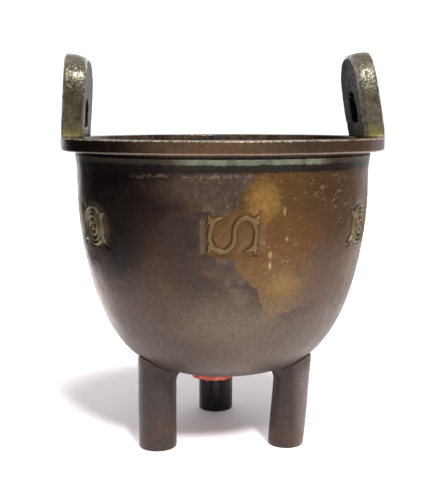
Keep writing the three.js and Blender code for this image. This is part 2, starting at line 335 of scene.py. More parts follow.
def handle_mesh(sizes):
    """A handle's mesh, and how dark a line runs through each of its points."""
    thick, height = sizes["thick"], sizes["height"]
    low, high = sizes["slot"]
    edge = arch(HANDLE_WIDTH, -HANDLE_ROOT, SPRINGING, height, ARCH_CURVE)
    hole = arch(SLOT_WIDTH, low, high - SLOT_WIDTH / 2, high, 2)
    span = np.linalg.norm(edge - hole, axis=1)
    section = handle_section(thick, sizes["strip"])
    rows = []
    dark = []
    for kind, value, depth, line in section:
        share = {"edge": 1 - value / span, "slot": value / span, "share": np.full(len(span), value)}[kind]
        flat = hole + (edge - hole) * share[:, None]
        foot = smoothstep(2.4, -0.2, flat[:, 1]) ** 2
        flat[:, 0] += np.sign(flat[:, 0]) * foot * 0.5 * share ** 4
        rows.append(np.column_stack([np.full(len(span), depth - thick), flat]))
        dark += [line] * len(span)
    verts = np.concatenate(rows)
    if sizes["side"] > 0:
        broken = (verts[:, 0] < 0.5 - thick) & (verts[:, 1] > SLOT_WIDTH / 2) & (verts[:, 2] < CRACK_HEIGHT)
        verts[broken, 0] += CRACK_DROP
    above = np.clip((verts[:, 2] - SPRINGING) / (height - SPRINGING), 0, 1)
    rounded = np.clip(1 + verts[:, 0] / TOP_ROUNDING["depth"], 0, 1) ** 1.3
    verts[:, 2] += above * (sizes["slope"] * verts[:, 0] / thick - TOP_ROUNDING["drop"] * rounded)
    verts[:, 0] -= HANDLE_BEND * (verts[:, 1] / (HANDLE_WIDTH / 2)) ** 2
    turn = math.radians(sizes["lean"])
    x = verts[:, 0] * math.cos(turn) - verts[:, 2] * math.sin(turn) + sizes["face"]
    z = verts[:, 0] * math.sin(turn) + verts[:, 2] * math.cos(turn) + RIM_TOP
    y = verts[:, 1]
    r = np.hypot(x, y)
    least = np.where(z < RIM_TOP - 0.05, RIM_OPENING + 0.5, 0)
    trim = np.clip(r, least, HANDLE_TRIM) / r
    verts = np.column_stack([sizes["side"] * x * trim, sizes["side"] * y * trim, z])
    count, around = len(section), len(span)
    faces = []
    for i in range(count):
        for j in range(around):
            k, m = (i + 1) % count, (j + 1) % around
            faces.append((i * around + j, i * around + m, k * around + m, k * around + j))
    return verts, faces, dark


def signed_volume(verts, faces):
    total = 0.0
    for face in faces:
        a = verts[face[0]]
        for b, c in zip(face[1:], face[2:]):
            total += a @ np.cross(verts[b], verts[c])
    return total / 6


def new_object(name, verts, faces):
    """An object in metres from a closed mesh in millimetres, its faces turned outward."""
    if signed_volume(verts, faces) < 0:
        faces = [face[::-1] for face in faces]
    mesh = bpy.data.meshes.new(name)
    mesh.from_pydata((verts * MM).tolist(), [], faces)
    obj = bpy.data.objects.new(name, mesh)
    bpy.context.scene.collection.objects.link(obj)
    return obj


def united(name, objects):
    """The exact union of closed objects, as one object."""
    first, *others = objects
    group = bpy.data.collections.new("joined")
    bpy.context.scene.collection.children.link(group)
    for other in others:
        bpy.context.scene.collection.objects.unlink(other)
        group.objects.link(other)
    union = first.modifiers.new("union", "BOOLEAN")
    union.operation = "UNION"
    union.solver = "EXACT"
    union.operand_type = "COLLECTION"
    union.collection = group
    shown = first.evaluated_get(bpy.context.evaluated_depsgraph_get())
    mesh = bpy.data.meshes.new_from_object(shown)
    for old in objects:
        bpy.data.objects.remove(old)
    bpy.data.collections.remove(group)
    mesh.name = name
    obj = bpy.data.objects.new(name, mesh)
    bpy.context.scene.collection.objects.link(obj)
    return obj


# Motif relief

def nearest_motif(points):
    """Which motif a wall point is nearest to, and its place from that motif's middle."""
    angle = np.arctan2(points[:, 1], points[:, 0]) + math.pi / 2
    pitch = 2 * math.pi / MOTIF_COUNT
    place = np.round(angle / pitch)
    u = (angle - place * pitch) * BOWL_RADIUS
    return place.astype(int) % MOTIF_COUNT, u, points[:, 2] - MOTIF_HEIGHT


def tip_distance(u, v, tip, base, base_width):
    """Distance inside or outside a corner spur with hollow sides that ends in a point."""
    dx, dy = tip[0] - base[0], tip[1] - base[1]
    length = math.hypot(dx, dy)
    along = ((u - base[0]) * dx + (v - base[1]) * dy) / length ** 2
    across = np.abs((v - base[1]) * dx - (u - base[0]) * dy) / length
    half = base_width * np.clip(1 - along, 0, 1) ** 1.7 + 0.08
    outside = np.maximum(along - 1, -along) * length
    return np.maximum(across - half, outside)


def s_line():
    """The centre line of the S and its half width along it, tapering to a point at both ends."""
    turns = np.linspace(math.pi, 2 * math.pi, 15)
    halves = []
    for half in S_HALVES:
        middle = S_MIDDLE * half["sign"]
        centre, reach = (middle - half["arm"]) / 2, (middle + half["arm"]) / 2
        depth = half["end"] - S_LIFT
        loop = [(centre + reach * math.cos(a), depth * math.sin(a) - S_LIFT) for a in turns]
        halves.append(half["sign"] * smooth_line([*half["hook"], *loop], 3))
    line = np.concatenate([halves[0], halves[1][::-1]])
    steps = np.hypot(*np.diff(line, axis=0).T)
    along = np.concatenate([[0], np.cumsum(steps)])
    from_end = np.minimum(along, along[-1] - along)
    return line, S_BAND / 2 * np.clip(0.12 + from_end / S_TAPER, 0, 1)


def s_distance(u, v):
    near = distance_to_band(u, v, *s_line())
    for tip, base in S_TIPS:
        near = np.minimum(near, tip_distance(u, v, tip, base, 1.5))
    return near


def spiral_line():
    start, end, turns = SPIRAL
    steps = np.linspace(0, 1, 60)
    angles = math.radians(150) - 2 * math.pi * turns * steps
    radii = start + (end - start) * steps
    return np.column_stack([radii * np.cos(angles), radii * np.sin(angles) + DOT[1] * steps])


def whorl_distance(u, v):
    r = np.hypot(u, v)
    near = np.abs(r - WHORL_RINGS[0]) - 0.42
    near = np.minimum(near, np.abs(r - WHORL_RINGS[1]) - 0.36)
    spiral = spiral_line()
    near = np.minimum(near, distance_to_band(u, v, spiral, np.full(len(spiral), 0.5)))
    near = np.minimum(near, np.hypot(u - DOT[0], v - DOT[1]) - DOT[2])
    for tip, base in WHORL_TIPS:
        for sign in (1, -1):
            spur = tip_distance(u * sign, v, tip, base, 1.7)
            near = np.minimum(near, np.where(r > WHORL_RINGS[0] - 0.3, spur, 9.0))
    return near


def motif_relief(points):
    """Height of the relief on the wall, and how near each point is to a groove and to a crest."""
    kind, u, v = nearest_motif(points)
    near = np.where(kind % 2 == 0, s_distance(u, v), whorl_distance(u, v))
    raised = smoothstep(0.2, -0.38, near) - 0.16 * smoothstep(-0.4, -0.75, near)
    hollow = 0.24 * smoothstep(-0.1, 0.3, near) * smoothstep(2.6, 0.5, near)
    height = RELIEF * raised - hollow
    groove = np.exp(-(((near - 0.22) / 0.26) ** 2))
    crest = np.exp(-(((near + 0.34) / 0.24) ** 2))
    return height, groove, crest


def refine(bm, chosen, cuts):
    """Cuts the chosen faces into a finer grid, with a clean join to the faces around them."""
    edges = list({edge for face in bm.faces if chosen(face) for edge in face.edges})
    bmesh.ops.subdivide_edges(bm, edges=edges, cuts=cuts, use_grid_fill=True)


def in_motif_window(face):
    centre = face.calc_center_median() / MM
    if not BAND_LOW < centre.z < BAND_HIGH or math.hypot(centre.x, centre.y) < BOWL_RADIUS - 2.5:
        return False
    angle = math.atan2(centre.y, centre.x) + math.pi / 2
    pitch = 2 * math.pi / MOTIF_COUNT
    return abs(angle - round(angle / pitch) * pitch) * BOWL_RADIUS < WINDOW


def cast_unevenness(points):
    """How far the casting stands out from its true form: shallow waves, and pits on handles and inside."""
    r = np.hypot(points[:, 0], points[:, 1])
    waves = 0.10 * cloud(points, 14, 1) + 0.05 * cloud(points, 5, 2)
    handles = smoothstep(RIM_TOP, RIM_TOP + 1.5, points[:, 2])
    inside = (r < BOWL_RADIUS - WALL + 1) & (points[:, 2] < RIM_TOP) & (points[:, 2] > 32.5)
    pits = np.clip(cloud(points, 2.2, 3) - 0.1, 0, 1)
    lumps = cloud(points, 3.6, 4)
    return waves - (0.30 * handles + 0.25 * inside) * pits + (0.10 * handles + 0.10 * inside) * lumps


def dark_lines(points, handles):
    """How dark a line runs through each point, found from the handles' own meshes."""
    handle_points = np.concatenate([verts for verts, _, _ in handles])
    darkness = np.concatenate([dark for _, _, dark in handles])
    tree = kdtree.KDTree(len(handle_points))
    for i, corner in enumerate(handle_points):
        tree.insert(corner, i)
    tree.balance()
    lines = np.zeros(len(points))
    for i in np.flatnonzero(points[:, 2] > RIM_TOP):
        _, nearest, distance = tree.find(points[i])
        if distance < 0.02:
            lines[i] = darkness[nearest]
    return lines


def mark_handle_faces(bm):
    """Marks the two broad faces of each handle, and the chamfers between them and the plate's edge."""
    plate = bm.faces.layers.float.new("plate")
    chamfer = bm.faces.layers.float.new("chamfer")
    bm.normal_update()
    for face in bm.faces:
        centre = face.calc_center_median() / MM
        if centre.z < RIM_TOP:
            continue
        sizes = HANDLES[int(centre.x > 0)]
        turn = math.radians(sizes["lean"])
        outward = Vector((sizes["side"] * math.cos(turn), 0, math.sin(turn)))
        turned_out = abs(face.normal.dot(outward))
        face[plate] = float(turned_out > 0.88)
        face[chamfer] = float(0.4 < turned_out <= 0.88 and centre.z > RIM_TOP + 2)


def build_vessel():
    parts = [new_object("shell", *turned(shell_profile(), COLUMNS))]
    parts += [new_object(f"leg_{leg[0]}", *leg_mesh(*leg)) for leg in LEGS]
    handles = [handle_mesh(sizes) for sizes in HANDLES]
    parts += [new_object("handle", verts, faces) for verts, faces, _ in handles]
    vessel = united("cast_vessel", parts)
    bm = bmesh.new()
    bm.from_mesh(vessel.data)
    bmesh.ops.dissolve_degenerate(bm, edges=bm.edges, dist=1e-6)
    refine(bm, in_motif_window, 6)
    bm.normal_update()
    points = np.array([v.co for v in bm.verts]) / MM
    normals = np.array([v.normal for v in bm.verts])
    r = np.hypot(points[:, 0], points[:, 1])
    on_wall = (r > BOWL_RADIUS - 1.5) & (points[:, 2] > BAND_LOW - 4) & (points[:, 2] < BAND_HIGH + 6)
    height, groove, crest = motif_relief(points[on_wall])
    way = points[on_wall, :2] / r[on_wall, None]
    points[on_wall, :2] = way * (wall_radius(points[on_wall, 2]) + height)[:, None]
    lines = dark_lines(points, handles)
    moved = cast_unevenness(points)
    feet = smoothstep(0.0, 1.0, points[:, 2])
    points += normals * (moved * feet)[:, None]
    edge = np.hypot(points[:, 0], points[:, 1])
    points[:, :2] *= np.minimum(1, WIDEST / np.maximum(edge, 1e-6))[:, None]
    for vert, place in zip(bm.verts, points * MM):
        vert.co = place
    mark_handle_faces(bm)
    bm.to_mesh(vessel.data)
    bm.free()
    marks = (("groove", groove, on_wall), ("crest", crest, on_wall), ("line", lines, slice(None)))
    for name, values, chosen in marks:
        layer = vessel.data.attributes.new(name, "FLOAT", "POINT")
        full = np.zeros(len(points))
        full[chosen] = values
        layer.data.foreach_set("value", full)
    shade(vessel.data, points)
    return vessel


def shade(mesh, points):
    """Smooth shading, with sharp edges where the casting has them."""
    mesh.polygons.foreach_set("use_smooth", [True] * len(mesh.polygons))
    mesh.set_sharp_from_angle(angle=math.radians(38))
    ends = np.zeros(len(mesh.edges) * 2, int)
    mesh.edges.foreach_get("vertices", ends)
    middle = points[ends.reshape(-1, 2)].mean(1)
    in_band = (middle[:, 2] > BAND_LOW - 2) & (middle[:, 2] < BAND_HIGH + 2)
    sharp = mesh.attributes["sharp_edge"]
    flags = np.zeros(len(mesh.edges), bool)
    sharp.data.foreach_get("value", flags)
    sharp.data.foreach_set("value", flags & ~in_band)


# Wax lump

def build_wax():
    """A squeezed disc of wax against the bowl: thick uneven lip, dished face."""
    turns = 2 * math.pi * np.arange(WAX_COLUMNS) / WAX_COLUMNS
    outline = WAX_RADIUS * (0.93 + 0.05 * np.sin(2 * turns + 0.7) + 0.03 * np.sin(5 * turns + 2.0))
    section = [(share, 0.0) for share in np.linspace(0, 0.98, 7)]
    for turn in np.linspace(0.4, math.pi, WAX_LIP_STEPS):
        section.append((0.98 + 0.07 * math.sin(turn), -WAX_THICK * 0.5 * (1 - math.cos(turn))))
    for share in (0.86, 0.74, 0.6, 0.44, 0.25, 0.0):
        section.append((share, -WAX_THICK * (1 - 0.28 * math.cos(share * 1.7) ** 2)))
    seat = float(underside(math.hypot(*WAX))) - WAX_GAP
    verts = [(*WAX, seat)]
    for share, drop in section[1:-1]:
        for turn, reach in zip(turns, outline):
            x = WAX[0] + reach * share * math.cos(turn)
            y = WAX[1] + reach * share * math.sin(turn)
            swell = 1 + 0.14 * noise.noise(Vector((x, y, 0)) / 3.2)
            verts.append((x, y, float(underside(math.hypot(x, y))) - WAX_GAP + drop * swell))
    verts.append((*WAX, seat + section[-1][1]))
    wax = new_object("wax_lump", np.array(verts), capped_faces(len(section) - 2, WAX_COLUMNS))
    wax.data.polygons.foreach_set("use_smooth", [True] * len(wax.data.polygons))
    return wax


# Materials

class Nodes:
    """Short ways to add the nodes of one material."""

    def __init__(self, name):
        self.material = bpy.data.materials.new(name)
        self.material.use_nodes = True
        self.tree = self.material.node_tree
        self.shader = self.tree.nodes["Principled BSDF"]
        self.place = self.tree.nodes.new("ShaderNodeTexCoord").outputs["Object"]
        self.x, self.y, self.z = self.split(self.place)

    def split(self, vector):
        """The three parts of a vector in metres, as millimetres."""
        node = self.tree.nodes.new("ShaderNodeSeparateXYZ")
        self.put(node.inputs[0], vector)
        return [self.math("MULTIPLY", part, 1 / MM) for part in node.outputs]

    def joined(self, x, y):
        node = self.tree.nodes.new("ShaderNodeCombineXYZ")
        self.put(node.inputs[0], x)
        self.put(node.inputs[1], y)
        return node.outputs[0]

    def curve(self, value, points):
        """Looks a value up in a line through the given points."""
        xs, ys = zip(*points)
        node = self.tree.nodes.new("ShaderNodeFloatCurve")
        line = node.mapping.curves[0]
        for x, y in points[1:-1]:
            line.points.new((x - xs[0]) / (xs[-1] - xs[0]), (y - min(ys)) / (max(ys) - min(ys)))
        line.points[0].location = (0, (ys[0] - min(ys)) / (max(ys) - min(ys)))
        line.points[-1].location = (1, (ys[-1] - min(ys)) / (max(ys) - min(ys)))
        for point in line.points:
            point.handle_type = "VECTOR"
        node.mapping.update()
        share = self.math("MULTIPLY", self.math("SUBTRACT", value, xs[0]), 1 / (xs[-1] - xs[0]))
        self.put(node.inputs["Value"], share)
        return self.math("ADD", self.math("MULTIPLY", node.outputs[0], max(ys) - min(ys)), min(ys))

    def times(self, *factors):
        product = factors[0]
        for factor in factors[1:]:
            product = self.math("MULTIPLY", product, factor)
        return product

    def shifted(self, value, wobble, reach):
        """A value in millimetres moved to and fro by a noise."""
        return self.math("ADD", value, self.math("MULTIPLY", self.math("SUBTRACT", wobble, 0.5), 2 * reach))

    def between(self, value, low, high, soft):
        """1 between low and high, 0 outside, with soft ends."""
        above = self.step(value, low - soft, low + soft)
        return self.times(above, self.step(value, high + soft, high - soft))

    def lay(self, base, share, strength, rgb):
        """A colour laid over the base where share is 1."""
        return self.mix(self.math("MULTIPLY", share, strength), base, colour(*rgb))

    def put(self, socket, value):
        if isinstance(value, bpy.types.NodeSocket):
            self.tree.links.new(value, socket)
        else:
            socket.default_value = value

    def math(self, operation, a, b=0.0):
        node = self.tree.nodes.new("ShaderNodeMath")
        node.operation = operation
        self.put(node.inputs[0], a)
        self.put(node.inputs[1], b)
        return node.outputs[0]

    def noise(self, size, detail=3.0, roughness=0.55, distortion=0.0, place=None):
        """Noise from about 0.3 to 0.7, with features about size millimetres wide."""
        node = self.tree.nodes.new("ShaderNodeTexNoise")
        self.put(node.inputs["Vector"], place or self.place)
        node.inputs["Scale"].default_value = 1 / (size * MM)
        node.inputs["Detail"].default_value = detail
        node.inputs["Roughness"].default_value = roughness
        node.inputs["Distortion"].default_value = distortion
        return node.outputs["Fac"]

    def moved(self, offset):
        node = self.tree.nodes.new("ShaderNodeVectorMath")
        self.put(node.inputs[0], self.place)
        node.inputs[1].default_value = offset
        return node.outputs[0]

    def step(self, value, low, high):
        """0 below low and 1 above high, smooth between."""
        node = self.tree.nodes.new("ShaderNodeMapRange")
        node.interpolation_type = "SMOOTHSTEP"
        self.put(node.inputs["Value"], value)
        node.inputs["From Min"].default_value = min(low, high)
        node.inputs["From Max"].default_value = max(low, high)
        node.inputs["To Min"].default_value = 0.0 if low < high else 1.0
        node.inputs["To Max"].default_value = 1.0 if low < high else 0.0
        return node.outputs["Result"]

    def grained(self, base, grain, low, high):
        """The base colour made darker and lighter by a noise, between the given factors."""
        node = self.tree.nodes.new("ShaderNodeVectorMath")
        node.operation = "SCALE"
        self.put(node.inputs[0], base)
        self.put(node.inputs["Scale"], self.span(self.step(grain, 0.28, 0.72), low, high))
        return node.outputs[0]

    def span(self, share, start, end):
        """A value that goes from start to end as share goes from 0 to 1."""
        return self.math("ADD", start, self.math("MULTIPLY", share, end - start))

    def mix(self, share, a, b):
        """A mix of two colours, whose sockets are numbers 6 and 7, and 2 for the result."""
        node = self.tree.nodes.new("ShaderNodeMix")
        node.data_type = "RGBA"
        self.put(node.inputs["Factor"], share)
        self.put(node.inputs[6], a)
        self.put(node.inputs[7], b)
        return node.outputs[2]

    def attribute(self, name):
        node = self.tree.nodes.new("ShaderNodeAttribute")
        node.attribute_name = name
        return node.outputs["Fac"]

    def patch(self, flat, centre, radii, edge, ragged, wobble):
        """1 inside an egg-shaped place on the wall, 0 outside, with a ragged edge."""
        node = self.tree.nodes.new("ShaderNodeVectorMath")
        node.operation = "MULTIPLY_ADD"
        self.put(node.inputs[0], flat)
        node.inputs[1].default_value = (1 / radii[0], 1 / radii[1], 0)
        node.inputs[2].default_value = (-centre[0] / radii[0], -centre[1] / radii[1], 0)
        length = self.tree.nodes.new("ShaderNodeVectorMath")
        length.operation = "LENGTH"
        self.put(length.inputs[0], node.outputs[0])
        reach = self.math("ADD", length.outputs["Value"], self.math("MULTIPLY", wobble, ragged))
        return self.step(reach, 1 + edge + ragged / 2, 1 - edge + ragged / 2)

    def bump(self, height, distance, strength, before=None):
        node = self.tree.nodes.new("ShaderNodeBump")
        node.inputs["Strength"].default_value = strength
        node.inputs["Distance"].default_value = distance * MM
        self.put(node.inputs["Height"], height)
        if before:
            self.put(node.inputs["Normal"], before)
        return node.outputs["Normal"]


def colour(red, green, blue):
    """A colour given as it is seen on a screen, 0 to 255."""
    linear = [((c / 255 + 0.055) / 1.055) ** 2.4 if c > 10 else c / 255 / 12.92 for c in (red, green, blue)]
    return (*linear, 1.0)


# Places on the wall are given as (u, z): u is the way round from the front's middle at the bowl's
# radius, right positive, and z the height.

# Left and lower borders of the one golden zone
GOLD_LEFT = [(55, 14), (59.1, 13), (64.4, 12.3), (69.5, 10.3), (72.3, 9.7), (72.8, 7.3), (75.5, 4.9),
             (79.5, 1.3), (83.4, 0.6), (84.2, -9.6), (98.8, -9.6), (99.4, -0.2), (103, 2.2), (106.3, 3),
             (108.5, 6.8), (114, 7.2)]
GOLD_LOW = [(8, 60), (13, 59.1), (15.8, 58.2), (19, 61.1), (21, 61.8), (24.3, 62.1), (28, 63.5), (60, 66)]
# Hues of the golden zone: the heights between which one gives way to the next, and both colours,
# where none stands for the hue so far
GOLD_HUES = [
    (64, 71, (106, 87, 62), (108, 81, 44)), (76, 84, None, (104, 69, 28)), (96, 102, None, (102, 71, 31)),
]

# Stains below and above the golden zone, and painted shade at the far left: centre, radii, edge softness,
# raggedness, colour, strength
LOWER_STAINS_AND_LEFT_SHADE = [
    # Painted shade: the near-black upper left of the wall
    ((-46, 98), (22, 30), 0.4, 0.8, (18, 10, 10), 0.92),
    ((-23, 92), (13, 22), 0.5, 0.8, (46, 31, 27), 0.7),
    ((-27, 74), (9, 15), 0.9, 1.2, (74, 50, 30), 0.6),
    ((-34, 52), (34, 22), 0.5, 0.8, (64, 51, 45), 0.7),
    ((-14, 84), (10, 14), 0.7, 1.0, (52, 41, 35), 0.6),
    ((-4, 59), (17, 9), 0.8, 1.0, (112, 101, 82), 0.45),
    ((-9, 108), (17, 5.5), 0.5, 1.1, (88, 74, 62), 0.65),
]
UPPER_STAINS = [
    ((11, 104), (5.5, 6.5), 0.6, 0.9, (160, 122, 62), 0.8),
    ((38, 104), (14, 9), 0.5, 1.2, (92, 66, 42), 0.6),
    ((38, 72), (12, 14), 0.5, 1.0, (84, 66, 54), 0.6),
    ((20, 73), (6, 4), 0.6, 1.2, (138, 110, 64), 0.5),
    ((61.6, 92.2), (10.5, 9), 0.2, 0.3, (112, 104, 82), 0.6),
    ((-61.6, 92.2), (10.5, 9), 0.2, 0.3, (112, 104, 82), 0.6),
]

# Nicks that show bright metal: centre and half size
NICKS = [
    ((20, 90), (0.5, 0.6)), ((13.7, 84.5), (0.7, 1.1)),
    ((13.9, 80.5), (0.6, 1.3)), ((18.6, 100), (0.5, 1.4)),
]

# Places with fine pale scratches: middle, half size and strength
SCRATCHED = [
    ((41, 105), (10, 9), 0.6), ((22, 108), (9, 5), 0.4),
    ((-2, 107), (20, 7), 0.25), ((20, 88), (12, 12), 0.16),
]

# Ground of the front S, and the paler strips beside it
S_GROUND_U = (-9.6, 9.6)
S_GROUND_Z = (84.6, 98.6)
S_STRIPS_U = [(-11.8, -9.9), (9.8, 11.8)]
S_STRIPS_Z = (85.5, 97.5)

# Bands round the neck, by height
SPECKLED_LINE = (111.6, 112.7)
DARK_PATINA_AND_RIM_SHADOW_BAND = (113.5, 116.3)
OLIVE_BAND = (113.8, 116.4)
VERDIGRIS_BAND = (116.2, 118.3)
COVE_PAINTED_SHADE_BAND = (118.35, 119.5)

# Heights on the handles: the bright pits, the painted glint along the crack and the top of the painted
# shade in the slots
BRIGHT_PITS = (144, 151)
CRACK_GLINT_HEIGHTS = (130.6, 130.95)
SLOT_SHADE_TOP = 146.0


def wall_colours(n, u, flat, base, middle, fine):
    """The patina of the bowl's wall: brown skin, stains, painted shade at the far left, the golden zone,
    nicks and scratches.
    """
    low = n.step(n.shifted(n.z, middle, 8), 67, 55)
    base = n.lay(base, low, 0.8, (92, 82, 72))
    brown = n.times(n.step(n.shifted(u, middle, 8), 22, 34), n.step(n.shifted(n.z, middle, 8), 62, 72))
    base = n.lay(base, n.times(brown, n.step(u, 86, 74)), 0.75, (86, 56, 28))
    for centre, radii, edge, ragged, rgb, strength in LOWER_STAINS_AND_LEFT_SHADE:
        base = n.lay(base, n.patch(flat, centre, radii, edge, ragged, middle), strength, rgb)
    wobbly_u = n.shifted(u, fine, 0.7)
    wobbly_z = n.shifted(n.z, fine, 0.6)
    gold = n.step(n.math("SUBTRACT", wobbly_u, n.curve(n.z, GOLD_LEFT)), -0.25, 0.35)
    gold = n.times(gold, n.step(n.math("SUBTRACT", wobbly_z, n.curve(u, GOLD_LOW)), -0.4, 0.5))
    gold = n.times(gold, n.step(wobbly_z, 113.9, 113.3), n.step(n.shifted(u, middle, 14), 40, 24))
    hue = None
    for start, end, lower, upper in GOLD_HUES:
        share = n.step(n.shifted(n.z, middle, 6), start, end)
        hue = n.mix(share, colour(*lower) if hue is None else hue, colour(*upper))
    ground = n.times(n.between(wobbly_u, *S_GROUND_U, 0.8), n.between(wobbly_z, *S_GROUND_Z, 0.9))
    hue = n.lay(hue, ground, 0.6, (112, 86, 54))
    base = n.mix(n.math("MULTIPLY", gold, 0.92), base, hue)
    strips = n.math("ADD", *[n.between(u, *ends, 0.35) for ends in S_STRIPS_U])
    base = n.lay(base, n.times(strips, n.between(wobbly_z, *S_STRIPS_Z, 1.2)), 0.35, (128, 110, 84))
    for centre, radii, edge, ragged, rgb, strength in UPPER_STAINS:
        base = n.lay(base, n.patch(flat, centre, radii, edge, ragged, middle), strength, rgb)
    for centre, radii in NICKS:
        base = n.lay(base, n.patch(flat, centre, radii, 0.7, 1.6, fine), 0.5, (200, 176, 128))
    winding = n.noise(6, 3, 0.6, 1.5, n.moved((0.5, 0.6, 0.1)))
    scratch = n.times(n.between(winding, 0.488, 0.512, 0.012), n.step(fine, 0.52, 0.6))
    for centre, radii, strength in SCRATCHED:
        place = n.patch(flat, centre, radii, 0.4, 0.8, middle)
        base = n.lay(base, n.times(scratch, place), strength, (206, 196, 172))
    return base


def neck_colours(n, u, base, large, middle, fine):
    """A pale speckled line, a black band of dark patina and painted rim shadow, and a band of verdigris,
    one above the other, and painted shade in the cove under the rim.
    """
    z = n.shifted(n.z, middle, 1.1)
    speckled = n.times(n.between(z, *SPECKLED_LINE, 0.35), n.between(u, -36, 8, 4), n.step(fine, 0.4, 0.56))
    base = n.lay(base, speckled, 0.7, (136, 122, 108))
    middle_part = n.between(n.shifted(u, large, 12), -22, 24, 8)
    # Dark patina, with the rim's shadow painted into it as well
    base = n.lay(base, n.between(z, *DARK_PATINA_AND_RIM_SHADOW_BAND, 0.5), 0.85, (26, 19, 18))
    base = n.lay(base, n.times(middle_part, n.between(z, *OLIVE_BAND, 0.6)), 0.5, (66, 64, 50))
    neck = n.between(z, *VERDIGRIS_BAND, 0.4)
    base = n.lay(base, neck, 0.6, (84, 78, 68))
    verdigris = n.times(neck, n.between(n.shifted(u, large, 12), -18, 36, 7), n.step(middle, 0.25, 0.6))
    base = n.lay(base, verdigris, 0.85, (158, 168, 142))
    # Painted shade in the cove under the rim's overhang
    return n.lay(base, n.between(n.z, *COVE_PAINTED_SHADE_BAND, 0.12), 0.45, (34, 32, 24))


def rim_colours(n, r, u, base, middle, fine, specks):
    """Pale corners, worn and with painted highlights, painted shade at the far left, painted light in the
    middle of the front, and greenish at the right.
    """
    face = n.between(n.z, 119.7, RIM_TOP + 0.2, 0.1)
    outer = n.times(face, n.step(r, 62.5, 63.5))
    base = n.lay(base, outer, 0.6, (86, 68, 52))
    # Painted shade: the rim's outer face near black at the far left
    dark = n.times(n.step(n.shifted(u, middle, 10), -16, -48), n.step(u, -150, -100))
    base = n.lay(base, n.times(outer, dark), 0.92, (16, 6, 5))
    base = n.lay(base, n.times(outer, n.between(u, 76, 130, 10)), 0.6, (110, 104, 84))
    base = n.lay(base, n.times(outer, n.step(middle, 0.5, 0.6)), 0.5, (54, 36, 26))
    # Painted light: a lighter patch in the middle of the rim's front face
    front_middle_painted_light = n.times(outer, n.between(n.shifted(u, fine, 3), -24, 12, 14))
    base = n.lay(base, front_middle_painted_light, 0.7, (118, 92, 66))
    # The top outer corner: wear, and a painted highlight along the edge
    upper = n.step(n.shifted(n.z, fine, 0.4), 124.0, 124.4)
    worn_and_highlit = n.times(upper, n.step(n.shifted(r, fine, 0.4), 64.1, 64.6))
    base = n.lay(base, n.times(worn_and_highlit, n.step(specks, 0.4, 0.56)), 0.75, (206, 197, 176))
    # Painted highlight: a pale line along the rim's bottom edge
    lower = n.times(n.step(r, 63.6, 64.3), n.between(n.z, 119.6, 120.3, 0.12))
    base = n.lay(base, n.times(lower, n.between(u, -45, 140, 15)), 0.5, (150, 134, 118))
    inside = n.times(n.step(r, 57.2, 56.6), n.between(n.z, 100, RIM_TOP, 2))
    return n.lay(base, n.times(inside, n.step(fine, 0.42, 0.6)), 0.35, (128, 116, 98))


def handle_colours(n, base, middle, fine, specks):
    """Olive sides with bright pits, brassy feet, painted shade in the slots, grey-mauve faces with a
    painted glint along the crack, and chamfers painted pale as highlights.
    """
    on_handle = n.step(n.z, RIM_TOP + 0.3, RIM_TOP + 1.0)
    olive = n.mix(n.step(middle, 0.38, 0.62), colour(92, 86, 66), colour(122, 115, 92))
    olive = n.lay(olive, n.step(specks, 0.5, 0.36), 0.45, (52, 46, 34))
    bright = n.times(n.between(n.shifted(n.z, middle, 6), *BRIGHT_PITS, 2), n.step(specks, 0.54, 0.66))
    olive = n.lay(olive, bright, 0.75, (220, 216, 198))
    brassy = n.step(n.shifted(n.z, middle, 6), 132, 126)
    olive = n.lay(olive, brassy, 0.8, (176, 166, 104))
    mauve = n.mix(n.step(fine, 0.36, 0.62), colour(74, 66, 64), colour(122, 112, 108))
    rear_post = n.times(n.step(n.x, 10, 11), n.step(n.y, 4.5, 5.5))
    cracked_z = n.shifted(n.z, fine, 1.2)
    mauve = n.lay(mauve, n.times(rear_post, n.step(cracked_z, 130.7, 130.3)), 0.6, (40, 35, 34))
    # Painted glint: a pale line along the crack, where light shows through
    glint = n.between(cracked_z, *CRACK_GLINT_HEIGHTS, 0.12)
    mauve = n.lay(mauve, n.times(rear_post, glint), 0.9, (228, 224, 214))
    # Painted shade on the slots' walls
    slot = n.between(n.y, -SLOT_WIDTH / 2 - 0.2, SLOT_WIDTH / 2 + 0.2, 0.1)
    slot = n.times(slot, n.step(n.z, SLOT_SHADE_TOP, SLOT_SHADE_TOP - 0.4))
    olive = n.lay(olive, slot, 0.92, (20, 16, 14))
    colours = n.mix(n.attribute("plate"), olive, mauve)
    # Painted highlight: the chamfers made pale
    pale = n.mix(n.step(fine, 0.35, 0.6), colour(150, 140, 128), colour(196, 188, 178))
    colours = n.mix(n.attribute("chamfer"), colours, pale)
    return n.mix(on_handle, base, colours)


def leg_colours(n, base, middle):
    """Darker toward the feet, a painted lit right side on the right leg, and a rear leg painted nearly
    black as shade.
    """
    base = n.lay(base, n.step(n.z, 38, 31), 0.85, (54, 46, 46))
    # Painted light on the right side of the right leg
    right_leg_painted_light = n.times(n.step(n.x, 26, 32), n.step(n.z, 36, 30), n.step(n.y, 0, -6))
    base = n.lay(base, right_leg_painted_light, 0.6, (128, 116, 110))
    base = n.lay(base, n.times(n.step(n.z, 24, 4), n.step(middle, 0.42, 0.6)), 0.35, (92, 66, 44))
    # Painted shade: the rear leg under the bowl made nearly black
    rear_leg_painted_shade = n.times(n.step(n.y, 12, 18), n.step(n.z, 46, 38))
    return n.lay(base, rear_leg_painted_shade, 0.88, (24, 20, 25))


